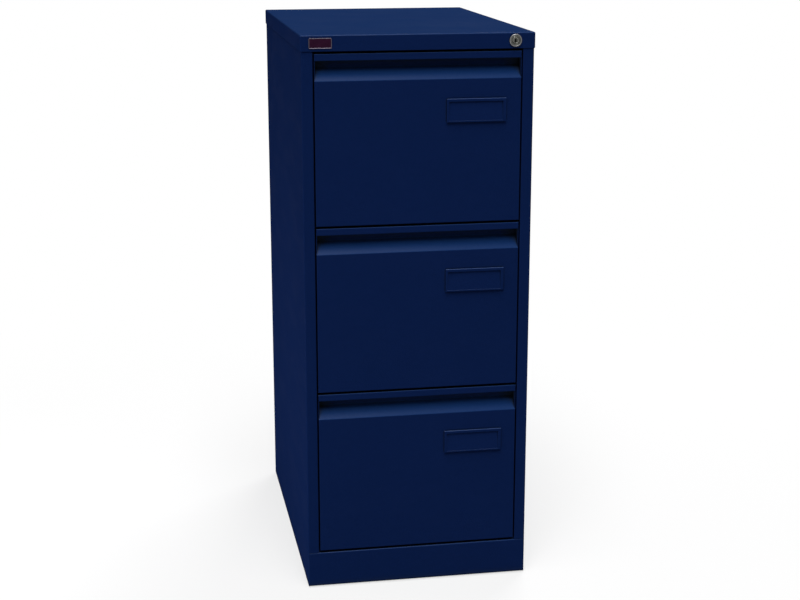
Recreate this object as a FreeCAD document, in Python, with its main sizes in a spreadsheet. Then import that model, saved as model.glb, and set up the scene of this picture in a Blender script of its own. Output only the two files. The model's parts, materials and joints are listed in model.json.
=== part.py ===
"""Three-drawer vertical filing cabinet in folded sheet steel.

Millimetres. +X is to the right seen from the front, +Y goes to the back, +Z is up.
The origin is on the floor under the middle of the top cap. Drawer 1 is the top one.
"""
import FreeCAD, Part
import os
import re
import Sketcher

DRAWERS = ("1", "2", "3")
SIDES = ("", "-")  # put before an X place: right, then left
BALLS_PER_ROW = 5
FLOOR_RIBS = 3
START, END, CENTRE = range(1, 4)  # points of a sketched line or circle
AXES = {
    "x": FreeCAD.Vector(1, 0, 0),
    "y": FreeCAD.Vector(0, 1, 0),
    "z": FreeCAD.Vector(0, 0, 1),
}
NEAR = 0.001  # how close an edge lies to the place where it is looked for
LEAST_CUT = 0.01  # the least volume that a cut takes away

DIMENSIONS = {
    # overall, over the top cap
    "width": 413,
    "depth": 622,
    "height": 1016,
    # carcass sheet
    "carcass_sheet": 1.0,
    "bend_radius": 2.0,
    "seam": 0.3,
    # top cap
    "cap_sheet": 1.2,
    "cap_height": 28,
    "cap_clearance": 0.3,
    "cap_radius": 2.5,
    "cap_hem_radius": 0.7,
    # side panels
    "stile_width": 20,
    "stile_return": 15,
    "rear_flange": 20,
    "base_flange": 25,
    # plinth, base pan and rails
    "plinth_height": 68,
    "plinth_flange": 22,
    "pan_height": 24,
    "pan_setback": 3,
    "pan_clearance": 0.5,
    "rail_flange": 18,
    "rail_inset": 1,
    "divider_height": 20,
    "divider_depth": 20,
    "divider_setback": 4,
    "divider_top": 4,
    # runner posts
    "post_width": 40,
    "post_depth": 25.4,
    "post_flange": 12,
    "post_setback": 34.5,
    "rear_post_setback": 60,
    # floor glides
    "glide_diameter": 25,
    "glide_height": 2.5,
    "glide_setback": 45,
    "glide_edge": 0.8,
    "stem_diameter": 8,
    "stem_length": 10,
    "stem_clearance": 0.2,
    # drawer fronts
    "front_gap": 4,
    "side_gap": 2.2,
    "front_sheet": 1.0,
    "liner_sheet": 1.0,
    "lip_height": 12,
    "mouth_height": 35,
    "recess_depth": 19,
    "slope_rise": 23,
    "front_bend": 3.0,
    "recess_bend": 6.0,
    "edge_radius": 1.2,
    "hem_radius": 0.9,
    "plate_inset": 1.0,
    # label holders
    "holder_width": 107,
    "holder_height": 42,
    "holder_depth": 3.6,
    "holder_margin": 26.8,
    "holder_drop": 81,
    "holder_left_bar": 4.5,
    "holder_right_bar": 6,
    "holder_top_bar": 5.5,
    "holder_bottom_bar": 3,
    "bed_head": 2.3,
    "bed_foot": 0.5,
    "card_slot": 0.9,
    "card_tuck": 3.0,
    "holder_top_edge": 1.6,
    "holder_corner": 1.0,
    "holder_edge": 0.4,
    # drawer trays
    "tray_sheet": 0.9,
    "tray_rise": 10,
    "tray_drop": 36.3,
    "tray_hem": 12,
    "tray_bend": 0.8,
    "tray_flange": 16,
    "tray_flange_end": 20,
    "back_height": 200,
    "rear_clearance": 20,
    "rib_width": 14,
    "rib_height": 1.5,
    "rib_inset": 30,
    # screws through the tray flanges
    "screw_diameter": 5,
    "screw_length": 10,
    "screw_clearance": 0.2,
    "screw_head": 9,
    "screw_head_height": 3,
    "screw_dome": 1.2,
    "screw_socket": 3,
    "screw_socket_depth": 1.6,
    "screw_end": 50,
    # ball slides
    "slide_length": 550,
    "slide_height": 45,
    "slide_depth": 12.7,
    "slide_sheet": 1.2,
    "slide_setback": 4,
    "slide_level": 70,
    "slide_lip": 1.2,
    "outer_reach": 10,
    "middle_reach": 10.6,
    "web_gap": 1.2,
    "inner_gap": 1.4,
    "ball_diameter": 3.2,
    "ball_clearance": 0.25,
    "ball_hole_clearance": 0.15,
    "outer_ball_place": 6,
    "inner_ball_place": 7.6,
    "cage_sheet": 0.6,
    "cage_gap": 0.3,
    "cage_margin": 10,
    "cage_end": 30,
    "travel": 520,
    # lock
    "lock_margin": 35.8,
    "lock_diameter": 22.5,
    "lock_face": 2.5,
    "lock_edge": 1.2,
    "lock_dish": 0.8,
    "barrel_diameter": 17,
    "barrel_length": 24,
    "barrel_clearance": 0.3,
    "nut_flats": 21,
    "nut_height": 5,
    "nut_clearance": 0.3,
    "plug_diameter": 12,
    "plug_clearance": 0.05,
    "plug_recess": 0.4,
    "key_width": 1.6,
    "key_height": 8,
    "key_depth": 9,
    "tang": 6,
    "tang_clearance": 0.15,
    "cam_clearance": 0.3,
    "cam_sheet": 2,
    "cam_boss": 13,
    "cam_arm": 8,
    "cam_radius": 10,
    "pin_diameter": 4,
    "pin_end": 0.5,
    "cam_screw_diameter": 3,
    "cam_screw_length": 7,
    "cam_hole_spare": 1,
    "cam_screw_head": 7,
    "cam_screw_head_height": 2,
    # lock bar, its tabs and the catches on the drawers
    "bar_width": 12,
    "bar_sheet": 2,
    "bar_inset": 4,
    "bar_clearance": 0.5,
    "bar_tail": 40,
    "slot_clearance": 0.5,
    "prong": 2.25,
    "tab_height": 10,
    "tab_gap": 6,
    "catch_clearance": 2,
    "catch_sheet": 2,
    "catch_length": 26,
    "catch_height": 30,
    "catch_drop": 8,
    "catch_overlap": 8,
    "guide_drop": 65,
    "guide_height": 20,
    "guide_wall": 1.5,
    "guide_clearance": 0.3,
    # badge plate
    "badge_width": 40,
    "badge_height": 18,
    "badge_sheet": 1.2,
    "badge_margin": 34.5,
    "badge_corner": 2,
    "badge_border": 1.3,
    "badge_field": 0.4,
    # how far a cut runs past the faces that it opens
    "overcut": 1,
}

# Places worked out from the sizes above.
# Drawer pieces measure Y from the front plane and Z from the front's lower edge.
LAYOUT = {
    "body_half": "width / 2 - cap_sheet - cap_clearance",
    "body_rear": "depth / 2 - cap_sheet - cap_clearance",
    "wall_face": "body_half - carcass_sheet",
    "cap_under": "height - cap_sheet",
    "cap_edge": "height - cap_height",
    "opening_half": "body_half - stile_width",
    "inner_bend": "bend_radius - carcass_sheet",
    "back_half": "wall_face - inner_bend - seam",
    "pan_floor": "glide_height + carcass_sheet",
    "pan_top": "pan_floor + pan_height",
    "glide_x": "body_half - base_flange / 2",
    "glide_y": "body_rear - glide_setback",
    "rail_bottom": "cap_edge + rail_inset",
    # drawers
    "front_half": "opening_half - side_gap",
    "front_height": "(cap_edge - plinth_height - 4 * front_gap) / 3",
    "bottom_3": "plinth_height + front_gap",
    "bottom_2": "bottom_3 + front_height + front_gap",
    "bottom_1": "bottom_2 + front_height + front_gap",
    "front_depth": "recess_depth + front_sheet + liner_sheet",
    "lip_bottom": "front_height - lip_height",
    "slope_bottom": "lip_bottom - mouth_height",
    "slope_top": "slope_bottom + slope_rise",
    "slope_shift": "front_sheet * tan(atan(recess_depth / slope_rise) / 2)",
    "holder_right": "front_half - holder_margin",
    "holder_left": "holder_right - holder_width",
    "holder_top": "front_height - holder_drop",
    "holder_bottom": "holder_top - holder_height",
    "post_face": "wall_face - post_depth",
    "tray_half": "post_face - slide_depth",
    "tray_inner": "tray_half - tray_sheet",
    "tray_top": "front_height - tray_drop",
    "tray_end": "2 * body_rear - 2 * carcass_sheet - rear_clearance",
    "tray_length": "tray_end - front_depth",
    "screw_x": "tray_inner - tray_flange / 2",
    "screw_low": "tray_rise + screw_end",
    "screw_high": "tray_top - screw_end",
    "screw_hole": "screw_diameter + 2 * screw_clearance",
    # slides
    "post_front": "post_setback - body_rear",
    "rear_post_front": "body_rear - 2 * carcass_sheet - rear_post_setback - post_width",
    "slide_front": "front_depth + slide_setback",
    "slide_half": "slide_height / 2",
    "ball_space": "ball_diameter + 2 * ball_clearance",
    "outer_ball_level": "slide_half - slide_sheet - ball_space / 2",
    "middle_half": "slide_half - slide_sheet - ball_space",
    "inner_ball_level": "middle_half - slide_sheet - ball_space / 2",
    "inner_half": "middle_half - slide_sheet - ball_space",
    "middle_web": "slide_sheet + web_gap",
    "inner_reach": "2 * slide_sheet + web_gap + inner_gap",
    "ball_hole": "ball_diameter + 2 * ball_hole_clearance",
    "cage_front": "slide_front + travel / 4 + cage_margin",
    "cage_length": "slide_length - travel / 2 - 2 * cage_margin",
    # lock and badge
    "lock_x": "width / 2 - lock_margin",
    "badge_x": "badge_margin - width / 2",
    "lock_level": "cap_edge + cap_height / 2",
    "barrel_hole": "barrel_diameter + 2 * barrel_clearance",
    "plug_bore": "plug_diameter + 2 * plug_clearance",
    "cam_front": "barrel_length + cam_clearance",
    "cam_rear": "cam_front + cam_sheet",
    "cam_step": "cam_radius * sqrt(2) / 2",
    "arm_step": "cam_arm / 2 * sqrt(2) / 2",
    "bar_front": "cam_rear + bar_clearance - depth / 2",
    "bar_rear": "bar_front + bar_sheet",
    "bar_outer": "wall_face - bar_inset",
    "bar_inner": "bar_outer - bar_width",
    "pin_low": "lock_level - cam_step",
    "slot_half": "pin_diameter / 2 + slot_clearance",
    "fork_half": "slot_half + prong",
    "fork_left": "lock_x + cam_step - slot_half",
    "fork_right": "lock_x + cam_radius + slot_half",
    "bar_top": "pin_low + fork_half",
    "catch_bottom": "tray_top - catch_drop - catch_height",
    "tab_level": "catch_bottom - catch_clearance - tab_height",
    "bar_bottom": "bottom_3 + tab_level - bar_tail",
    "tab_inner": "tray_half + tab_gap",
    "catch_front": "bar_rear + bar_clearance + body_rear",
    "catch_outer": "tab_inner + catch_overlap",
    "guide_level": "tab_level - guide_drop",
    "guide_front": "bar_front - guide_clearance - guide_wall",
}

doc = FreeCAD.newDocument("filing_cabinet")
dims = doc.addObject("Spreadsheet::Sheet", "Dims")
layout = doc.addObject("Spreadsheet::Sheet", "Layout")
OWNER = {name: "Dims." for name in DIMENSIONS}
OWNER.update({name: "Layout." for name in LAYOUT})


def full(text):
    """Puts its sheet's name before each alias in an expression."""
    return re.sub(r"[A-Za-z_]\w*", lambda word: OWNER.get(word.group(), "") + word.group(), str(text))


def value(text):
    """The number that an expression gives."""
    return float(layout.evalExpression(full(text)))


def bind(thing, name, text):
    thing.setExpression(name, full(text))


def fill_sheets():
    for row, (name, number) in enumerate(DIMENSIONS.items(), start=1):
        dims.set(f"A{row}", name)
        dims.set(f"B{row}", str(number))
        dims.setAlias(f"B{row}", name)
    doc.recompute()
    for row, (name, text) in enumerate(LAYOUT.items(), start=1):
        layout.set(f"A{row}", name)
        layout.set(f"B{row}", "=" + full(text))
        layout.setAlias(f"B{row}", name)
    doc.recompute()


def new_body(label, x="0", y="0", z="0"):
    body = doc.addObject("PartDesign::Body", label)
    body.Label = label
    body.AllowCompound = True
    for axis, place in (("x", x), ("y", y), ("z", z)):
        if place != "0":
            bind(body, f"Placement.Base.{axis}", place)
    return body


def drawer_body(name, number):
    """A body that rides with a drawer: Y starts at the front plane, Z at the front's lower edge."""
    return new_body(f"{name}_{number}", y="-body_rear", z=f"bottom_{number}")


def box(left, right, low, high):
    """Corners of a rectangle in a sketch."""
    return [(left, low), (right, low), (right, high), (left, high)]


def mirrored(points, side):
    return [(f"{side}({x})", y) for x, y in points]


def fix_point(sketch, line, corner, place):
    """Holds one point of the sketch at two expressions measured from the sketch's origin."""
    for kind, text in zip(("DistanceX", "DistanceY"), place):
        distance = Sketcher.Constraint(kind, -1, START, line, corner, value(text))
        number = sketch.addConstraint(distance)
        bind(sketch, f"Constraints[{number}]", text)


def add_polygon(sketch, points):
    first = sketch.GeometryCount
    count = len(points)
    spots = [FreeCAD.Vector(value(x), value(y), 0) for x, y in points]
    for i in range(count):
        sketch.addGeometry(Part.LineSegment(spots[i], spots[(i + 1) % count]), False)
    for i in range(count):
        meeting = Sketcher.Constraint("Coincident", first + i, END, first + (i + 1) % count, START)
        sketch.addConstraint(meeting)
    for i in range(count):
        fix_point(sketch, first + i, START, points[i])


def add_circle(sketch, circle):
    x, y, diameter = circle
    middle = FreeCAD.Vector(value(x), value(y), 0)
    ring = sketch.addGeometry(Part.Circle(middle, AXES["z"], value(diameter) / 2), False)
    fix_point(sketch, ring, CENTRE, (x, y))
    number = sketch.addConstraint(Sketcher.Constraint("Diameter", ring, value(diameter)))
    bind(sketch, f"Constraints[{number}]", diameter)


def draw(body, plane, start, loops):
    """A sketch across the named plane, at that place along the plane's axis.

    A circle is a tuple of its middle and diameter, a polygon a list of its corners.
    """
    sketch = body.newObject("Sketcher::SketchObject", body.Name + "_sketch")
    support = next(f for f in body.Origin.OriginFeatures if f.Role == plane + "_Plane")
    sketch.AttachmentSupport = [(support, "")]
    sketch.MapMode = "FlatFace"
    bind(sketch, "AttachmentOffset.Base.z", f"-({start})" if plane == "XZ" else start)
    for loop in loops:
        if isinstance(loop, tuple):
            add_circle(sketch, loop)
        else:
            add_polygon(sketch, loop)
    return sketch


def pad(body, plane, start, length, *loops):
    """Adds material from start to start + length along the plane's axis."""
    feature_sketch = draw(body, plane, start, loops)
    feature = body.newObject("PartDesign::Pad", body.Name + "_pad")
    feature.Profile = feature_sketch
    feature.Reversed = plane == "XZ"
    bind(feature, "Length", length)
    doc.recompute()
    return feature


def cut(body, plane, start, length, *loops):
    """Takes material away from start to start + length along the plane's axis."""
    before = body.Shape.Volume
    feature_sketch = draw(body, plane, start, loops)
    feature = body.newObject("PartDesign::Pocket", body.Name + "_cut")
    feature.Profile = feature_sketch
    feature.Reversed = plane != "XZ"
    bind(feature, "Length", length)
    doc.recompute()
    if body.Shape.Volume > before - LEAST_CUT:
        raise RuntimeError(f"{feature.Name} takes nothing away")
    return feature


def runs_along(axis, **places):
    """A test for straight edges along an axis that pass through the named places."""
    spots = {name: [value(text) for text in texts] for name, texts in places.items()}

    def test(edge):
        if edge.Degenerated or edge.Curve.TypeId != "Part::GeomLine":
            return False
        if edge.tangentAt(edge.FirstParameter).cross(AXES[axis]).Length > NEAR:
            return False
        middle = edge.CenterOfMass
        return all(
            any(abs(getattr(middle, name) - spot) < NEAR for spot in near) for name, near in spots.items()
        )

    return test


def circles_at(axis, place, diameter):
    """A test for round edges of that diameter lying at a place along an axis."""
    spot = value(place)
    radius = value(diameter) / 2

    def test(edge):
        if edge.Degenerated or edge.Curve.TypeId != "Part::GeomCircle":
            return False
        return abs(edge.Curve.Radius - radius) < NEAR and abs(getattr(edge.CenterOfMass, axis) - spot) < NEAR

    return test


def dress_edges(body, kind, name, size, tests):
    base = body.Tip
    names = []
    for number, edge in enumerate(base.Shape.Edges, start=1):
        if any(test(edge) for test in tests):
            names.append(f"Edge{number}")
    if not names:
        raise RuntimeError(f"{body.Label} has no such edge")
    feature = body.newObject("PartDesign::" + kind, body.Name + "_" + kind.lower())
    feature.Base = (base, names)
    bind(feature, name, size)
    doc.recompute()
    return feature


def round_edges(body, radius, *tests):
    return dress_edges(body, "Fillet", "Radius", radius, tests)


def bevel_edges(body, size, *tests):
    return dress_edges(body, "Chamfer", "Size", size, tests)


def channel(web, flange, low, high, thick):
    """A C section whose web runs from low to high beside `web` and whose flanges reach `flange`.

    `thick` is the sheet, with a sign that points from the web's outer face to the flanges' ends.
    """
    bare = thick.lstrip("-")
    return [
        (web, low),
        (flange, low),
        (flange, f"{low} + {bare}"),
        (f"{web} + ({thick})", f"{low} + {bare}"),
        (f"{web} + ({thick})", f"{high} - {bare}"),
        (flange, f"{high} - {bare}"),
        (flange, high),
        (web, high),
    ]


def build_side_panel(label, side):
    """Wall, front stile with its return, rear flange and base flange folded from one sheet."""
    body = new_body(label)
    folded = [
        ("body_half", "-body_rear"),
        ("opening_half", "-body_rear"),
        ("opening_half", "-body_rear + stile_return"),
        ("opening_half + carcass_sheet", "-body_rear + stile_return"),
        ("opening_half + carcass_sheet", "-body_rear + carcass_sheet"),
        ("wall_face", "-body_rear + carcass_sheet"),
        ("wall_face", "body_rear - carcass_sheet"),
        ("body_half - rear_flange", "body_rear - carcass_sheet"),
        ("body_half - rear_flange", "body_rear"),
        ("body_half", "body_rear"),
    ]
    pad(body, "XY", "glide_height", "cap_under - glide_height", mirrored(folded, side))
    wall = f"{side}(body_half)"
    edge = f"{side}(opening_half)"
    inner_wall = f"{side}(wall_face)"
    inner_edge = f"{side}(opening_half + carcass_sheet)"
    round_edges(
        body,
        "bend_radius",
        runs_along("z", x=[wall], y=["-body_rear", "body_rear"]),
        runs_along("z", x=[edge], y=["-body_rear"]),
    )
    round_edges(
        body,
        "inner_bend",
        runs_along("z", x=[inner_wall], y=["-body_rear + carcass_sheet", "body_rear - carcass_sheet"]),
        runs_along("z", x=[inner_edge], y=["-body_rear + carcass_sheet"]),
    )
    # the stile stops on top of the plinth, and only the wall goes on to the floor
    notch = box(
        "opening_half - overcut",
        "wall_face",
        "-body_rear - overcut",
        "-body_rear + stile_return + overcut",
    )
    cut(body, "XY", "glide_height", "plinth_height + seam - glide_height", mirrored(notch, side))
    flange = box(
        "body_half - base_flange",
        "wall_face + carcass_sheet / 2",
        "-body_rear + plinth_flange + seam",
        "body_rear - bend_radius",
    )
    pad(body, "XY", "glide_height", "carcass_sheet", mirrored(flange, side))
    hole = "stem_diameter + 2 * stem_clearance"
    holes = [(f"{side}(glide_x)", y, hole) for y in ("-glide_y", "glide_y")]
    cut(body, "XY", "glide_height", "carcass_sheet", *holes)
    return body


def build_top_cap():
    """Pan with turned-down edges that drops over the carcass."""
    body = new_body("top_cap")
    outline = box("-width / 2", "width / 2", "-depth / 2", "depth / 2")
    pad(body, "XY", "cap_edge", "cap_height", outline)
    round_edges(
        body,
        "cap_radius",
        runs_along("z"),
        runs_along("x", z=["height"]),
        runs_along("y", z=["height"]),
    )
    inside = box(
        "cap_sheet - width / 2",
        "width / 2 - cap_sheet",
        "cap_sheet - depth / 2",
        "depth / 2 - cap_sheet",
    )
    cut(body, "XY", "cap_edge", "cap_height - cap_sheet", inside)
    round_edges(
        body,
        "cap_hem_radius",
        runs_along("x", y=["-depth / 2", "depth / 2"], z=["cap_edge"]),
        runs_along("y", x=["-width / 2", "width / 2"], z=["cap_edge"]),
        circles_at("z", "cap_edge", "2 * cap_radius"),
    )
    lock_hole = ("lock_x", "lock_level", "barrel_hole")
    cut(body, "XZ", "-depth / 2 - overcut", "cap_sheet + 2 * overcut", lock_hole)
    return body


def build_back_panel():
    body = new_body("back_panel")
    outline = box("-back_half", "back_half", "pan_floor", "cap_under")
    pad(body, "XZ", "body_rear - 2 * carcass_sheet", "carcass_sheet", outline)
    return body


def build_plinth():
    """Front plate under the lowest drawer, with a flange at top and bottom."""
    body = new_body("plinth")
    flange = "plinth_flange - body_rear"
    section = channel("-body_rear", flange, "glide_height", "plinth_height", "carcass_sheet")
    pad(body, "YZ", "-wall_face", "2 * wall_face", section)
    levels = ["glide_height", "plinth_height"]
    round_edges(body, "bend_radius", runs_along("x", y=["-body_rear"], z=levels))
    inner_levels = ["glide_height + carcass_sheet", "plinth_height - carcass_sheet"]
    round_edges(body, "inner_bend", runs_along("x", y=["carcass_sheet - body_rear"], z=inner_levels))
    return body


def build_base_pan():
    """Shallow pan, open below, that carries the runner posts."""
    body = new_body("base_pan")
    front = "-body_rear + plinth_flange + pan_setback"
    rear = "body_rear - 2 * carcass_sheet - pan_clearance"
    half = "wall_face - pan_clearance"
    pad(body, "XY", "pan_floor", "pan_height", box(f"-({half})", half, front, rear))
    inside = box(
        f"carcass_sheet - ({half})",
        f"{half} - carcass_sheet",
        f"{front} + carcass_sheet",
        f"{rear} - carcass_sheet",
    )
    cut(body, "XY", "pan_floor", "pan_height - carcass_sheet", inside)
    return body


def build_top_rail():
    """Channel between the stiles, hidden behind the cap's front edge. The lock barrel passes through it."""
    body = new_body("top_rail")
    half = "opening_half - seam"
    flange = "rail_flange - body_rear"
    section = channel("-body_rear", flange, "rail_bottom", "cap_under", "carcass_sheet")
    pad(body, "YZ", f"-({half})", f"2 * ({half})", section)
    lock_hole = ("lock_x", "lock_level", "barrel_hole")
    cut(body, "XZ", "-body_rear - overcut", "carcass_sheet + 2 * overcut", lock_hole)
    return body


def build_divider_rails():
    """Two channels between the front posts, one behind each gap between drawers."""
    body = new_body("divider_rails")
    front = "front_depth + divider_setback - body_rear"
    sections = []
    for number in DRAWERS[:-1]:
        high = f"bottom_{number} + divider_top"
        low = f"{high} - divider_height"
        sections.append(channel(front, f"{front} + divider_depth", low, high, "carcass_sheet"))
    pad(body, "YZ", "-post_face", "2 * post_face", *sections)
    return body


def build_post(label, side, front):
    """Upright hat section welded to the side panel. The slides hang on its flat face."""
    body = new_body(label)
    rear = f"{front} + post_width"
    section = [
        ("wall_face", f"{front} - post_flange"),
        ("wall_face - carcass_sheet", f"{front} - post_flange"),
        ("wall_face - carcass_sheet", front),
        ("post_face", front),
        ("post_face", rear),
        ("wall_face - carcass_sheet", rear),
        ("wall_face - carcass_sheet", f"{rear} + post_flange"),
        ("wall_face", f"{rear} + post_flange"),
        ("wall_face", f"{rear} - carcass_sheet"),
        ("post_face + carcass_sheet", f"{rear} - carcass_sheet"),
        ("post_face + carcass_sheet", f"{front} + carcass_sheet"),
        ("wall_face", f"{front} + carcass_sheet"),
    ]
    pad(body, "XY", "pan_top", "cap_under - pan_top", mirrored(section, side))
    return body


def build_floor_glides():
    """Four push-in glides: a flat head under the base flange and a stem through it."""
    body = new_body("floor_glides")
    spots = [(f"{side}(glide_x)", y) for side in SIDES for y in ("-glide_y", "glide_y")]
    pad(body, "XY", "0", "glide_height", *[(x, y, "glide_diameter") for x, y in spots])
    pad(body, "XY", "glide_height", "stem_length", *[(x, y, "stem_diameter") for x, y in spots])
    round_edges(body, "glide_edge", circles_at("z", "0", "glide_diameter"))
    return body


def lock_body(label):
    """A body on the lock's axis: Y starts at the cap's front face."""
    return new_body(label, x="lock_x", y="-depth / 2", z="lock_level")


def build_lock_housing():
    body = lock_body("lock_housing")
    pad(body, "XZ", "-lock_face", "lock_face", ("0", "0", "lock_diameter"))
    pad(body, "XZ", "0", "barrel_length", ("0", "0", "barrel_diameter"))
    cut(body, "XZ", "-lock_face", "lock_face + barrel_length", ("0", "0", "plug_bore"))
    round_edges(body, "lock_edge", circles_at("y", "-lock_face", "lock_diameter"))
    bevel_edges(body, "lock_dish", circles_at("y", "-lock_face", "plug_bore"))
    return body


def build_lock_nut():
    """Hexagon nut on the barrel, behind the top rail's web."""
    body = new_body("lock_nut", x="lock_x", z="lock_level")
    corner = "nut_flats / sqrt(3)"
    flat = "nut_flats / 2"
    hexagon = [
        (corner, "0"),
        (f"{corner} / 2", flat),
        (f"-{corner} / 2", flat),
        (f"-{corner}", "0"),
        (f"-{corner} / 2", f"-{flat}"),
        (f"{corner} / 2", f"-{flat}"),
    ]
    bore = ("0", "0", "barrel_diameter + 2 * nut_clearance")
    pad(body, "XZ", "carcass_sheet - body_rear", "nut_height", hexagon, bore)
    return body


def build_lock_plug():
    """Turning core of the lock, with the keyway in front and a square tang behind."""
    body = lock_body("lock_plug")
    front = "plug_recess - lock_face"
    pad(body, "XZ", front, f"cam_front - ({front})", ("0", "0", "plug_diameter"))
    pad(body, "XZ", "cam_front", "cam_sheet", box("-tang / 2", "tang / 2", "-tang / 2", "tang / 2"))
    keyway = box("-key_width / 2", "key_width / 2", "-key_height / 2", "key_height / 2")
    cut(body, "XZ", front, "key_depth", keyway)
    hole = "cam_screw_diameter + 2 * screw_clearance"
    drilled = "(cam_screw_length + cam_hole_spare)"
    cut(body, "XZ", f"cam_rear - {drilled}", drilled, ("0", "0", hole))
    return body


def build_lock_cam():
    """Plate on the tang with a pin that lifts the fork arm. Unlocked, the pin is down at 45 degrees."""
    body = lock_body("lock_cam")
    pad(body, "XZ", "cam_front", "cam_sheet", ("0", "0", "cam_boss"))
    arm = [
        ("-arm_step", "-arm_step"),
        ("cam_step - arm_step", "-cam_step - arm_step"),
        ("cam_step + arm_step", "-cam_step + arm_step"),
        ("arm_step", "arm_step"),
    ]
    pad(body, "XZ", "cam_front", "cam_sheet", arm)
    pad(body, "XZ", "cam_front", "cam_sheet", ("cam_step", "-cam_step", "cam_arm"))
    pin_length = "bar_clearance + bar_sheet + pin_end"
    pad(body, "XZ", "cam_rear", pin_length, ("cam_step", "-cam_step", "pin_diameter"))
    half = "(tang / 2 + tang_clearance)"
    cut(body, "XZ", "cam_front", "cam_sheet", box(f"-{half}", half, f"-{half}", half))
    return body


def build_cam_screw():
    body = lock_body("cam_screw")
    pad(body, "XZ", "cam_rear", "cam_screw_head_height", ("0", "0", "cam_screw_head"))
    pad(body, "XZ", "cam_rear - cam_screw_length", "cam_screw_length", ("0", "0", "cam_screw_diameter"))
    return body


def build_lock_bar():
    """Upright flat bar behind the right stile. It slides up to lock."""
    body = new_body("lock_bar")
    pad(body, "XZ", "bar_front", "bar_sheet", box("bar_inner", "bar_outer", "bar_bottom", "bar_top"))
    return body


def build_lock_arm():
    """Fork welded to the top of the bar. The cam's pin stands in its slot."""
    body = new_body("lock_arm")
    fork = [
        ("bar_inner", "pin_low - fork_half"),
        ("bar_inner", "pin_low + fork_half"),
        ("fork_left", "pin_low + fork_half"),
        ("fork_left", "pin_low + slot_half"),
        ("fork_right", "pin_low + slot_half"),
        ("fork_right", "pin_low - slot_half"),
        ("fork_left", "pin_low - slot_half"),
        ("fork_left", "pin_low - fork_half"),
    ]
    pad(body, "XZ", "bar_front", "bar_sheet", fork)
    return body


def build_lock_tabs():
    """One tab for each drawer, welded to the bar's inner edge."""
    body = new_body("lock_tabs")
    tabs = []
    for number in DRAWERS:
        low = f"bottom_{number} + tab_level"
        tabs.append(box("tab_inner", "bar_inner", low, f"{low} + tab_height"))
    pad(body, "XZ", "bar_front", "bar_sheet", *tabs)
    return body


def build_lock_bar_guides():
    """Blocks on the front right post with a slot that the bar slides in."""
    body = new_body("lock_bar_guides")
    left = "bar_inner - guide_clearance - guide_wall"
    right = "bar_outer + guide_clearance + guide_wall"
    blocks = []
    for number in DRAWERS[:-1]:
        low = f"bottom_{number} + guide_level - guide_height / 2"
        blocks.append(box(left, right, low, f"{low} + guide_height"))
    low = "bar_bottom + guide_clearance"
    blocks.append(box(left, right, low, f"{low} + guide_height"))
    pad(body, "XZ", "guide_front", "post_front - guide_front", *blocks)
    slot = box(
        "bar_inner - guide_clearance",
        "bar_outer + guide_clearance",
        "bar_front - guide_clearance",
        "bar_rear + guide_clearance",
    )
    cut(body, "XY", "bar_bottom - guide_height", "bar_top - bar_bottom + 2 * guide_height", slot)
    return body


def build_badge_plate():
    """Bare plate with a raised border."""
    body = new_body("badge_plate", x="badge_x", y="-depth / 2", z="lock_level")
    half_width = "badge_width / 2"
    half_height = "badge_height / 2"
    outline = box(f"-{half_width}", half_width, f"-{half_height}", half_height)
    pad(body, "XZ", "-badge_sheet", "badge_sheet", outline)
    round_edges(body, "badge_corner", runs_along("y"))
    field = box(
        f"badge_border - {half_width}",
        f"{half_width} - badge_border",
        f"badge_border - {half_height}",
        f"{half_height} - badge_border",
    )
    cut(body, "XZ", "-badge_sheet", "badge_field", field)
    return body


def build_front_section(number):
    """Folded sheet of a front: lip, finger recess with a sloped lower face, panel, flange and end plates."""
    body = new_body(f"front_section_{number}")
    wall = "recess_depth + front_sheet"
    section = [
        ("0", "lip_bottom"),
        ("0", "front_height"),
        (wall, "front_height"),
        (wall, "slope_top - slope_shift"),
        ("front_sheet", "slope_bottom - slope_shift"),
        ("front_sheet", "front_sheet"),
        ("front_depth", "front_sheet"),
        ("front_depth", "0"),
        ("0", "0"),
        ("0", "slope_bottom"),
        ("recess_depth", "slope_top"),
        ("recess_depth", "front_height - front_sheet"),
        ("2 * front_sheet", "front_height - front_sheet"),
        ("2 * front_sheet", "lip_bottom"),
    ]
    pad(body, "YZ", "-front_half", "2 * front_half", section)
    round_edges(body, "front_bend", runs_along("x", y=["0"], z=["slope_bottom"]))
    round_edges(body, "recess_bend", runs_along("x", y=["recess_depth"], z=["slope_top"]))
    round_edges(body, "hem_radius", runs_along("x", y=["0", "2 * front_sheet"], z=["lip_bottom"]))
    plate = box("plate_inset", "front_depth", "0", "front_height")
    pad(body, "YZ", "-front_half", "front_sheet", plate)
    pad(body, "YZ", "front_half - front_sheet", "front_sheet", plate)
    return body


def build_drawer_front(number):
    """The folded front, kept within a block whose front edges are rounded."""
    block = new_body(f"front_block_{number}")
    pad(block, "XZ", "0", "front_depth", box("-front_half", "front_half", "0", "front_height"))
    round_edges(block, "edge_radius", runs_along("x", y=["0"]), runs_along("z", y=["0"]))
    front = doc.addObject("Part::Common", f"drawer_front_{number}")
    front.Label = f"drawer_front_{number}"
    front.Base = build_front_section(number)
    front.Tool = block
    bind(front, "Placement.Base.y", "-body_rear")
    bind(front, "Placement.Base.z", f"bottom_{number}")
    doc.recompute()
    return front


def screw_spots(diameter):
    return [(f"{side}(screw_x)", level, diameter) for side in SIDES for level in ("screw_low", "screw_high")]


def build_front_liner(number):
    """Flat sheet that closes the back of the drawer front."""
    body = drawer_body("front_liner", number)
    half = "(front_half - front_sheet)"
    outline = box(f"-{half}", half, "front_sheet", "front_height")
    pad(body, "XZ", "recess_depth + front_sheet", "liner_sheet", outline, *screw_spots("screw_hole"))
    return body


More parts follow.
